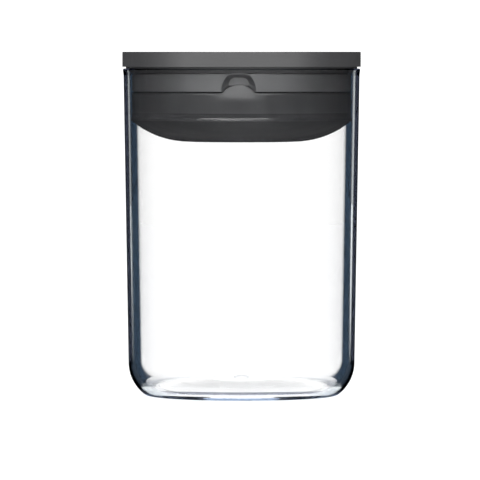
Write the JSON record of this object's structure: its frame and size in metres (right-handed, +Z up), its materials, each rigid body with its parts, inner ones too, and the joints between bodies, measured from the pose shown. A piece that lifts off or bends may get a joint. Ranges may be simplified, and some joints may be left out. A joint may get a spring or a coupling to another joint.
{
  "type": "lidded glass canister",
  "caption": "Round clear glass storage canister with a flat dark plug lid, a soft seal boot and a flush lever that spreads the seal",
  "frame": {"origin": "centre of the foot ring, on the surface that the canister stands on", "axes": "+Z is up along the canister's axis; -Y is the front, where the lid's scoop and the lever's tip are"},
  "size_m": [0.108, 0.108, 0.1558],
  "materials": {
    "clear_glass": "polished clear",
    "charcoal_plastic": "fine matte moulding",
    "soft_seal": "satin silicone",
    "steel": "stainless",
    "pale_plastic": "natural moulding"
  },
  "bodies": {
    "canister": {"canister_body": "clear_glass"},
    "lid": {"lid_cap": "charcoal_plastic", "plug_collar": "charcoal_plastic", "seal_boot": "soft_seal", "cap_screws": "steel", "lever_pin": "steel", "return_spring": "steel"},
    "lever": {"flip_lever": "charcoal_plastic"},
    "plunger": {"plunger": "pale_plastic", "expander": "pale_plastic", "expander_screw": "steel"}
  },
  "joints": [
    {"name": "lid_lift", "type": "slide", "parent": "canister", "child": "lid", "axis": [0, 0, 1], "range_m": [0, 0.12]},
    {"name": "lever_flip", "type": "hinge", "parent": "lid", "child": "lever", "pos_m": [0, 0.00181, 0.1536], "axis": [-1, 0, 0], "range_deg": [0, 90]},
    {"name": "plunger_rise", "type": "slide", "parent": "lid", "child": "plunger", "axis": [0, 0, 1], "range_m": [0, 0.003], "deforming": ["return_spring"]}
  ],
  "couplings": [
    {"joint": "plunger_rise", "follows": "lever_flip", "m_per_rad": 0.0019099}
  ]
}
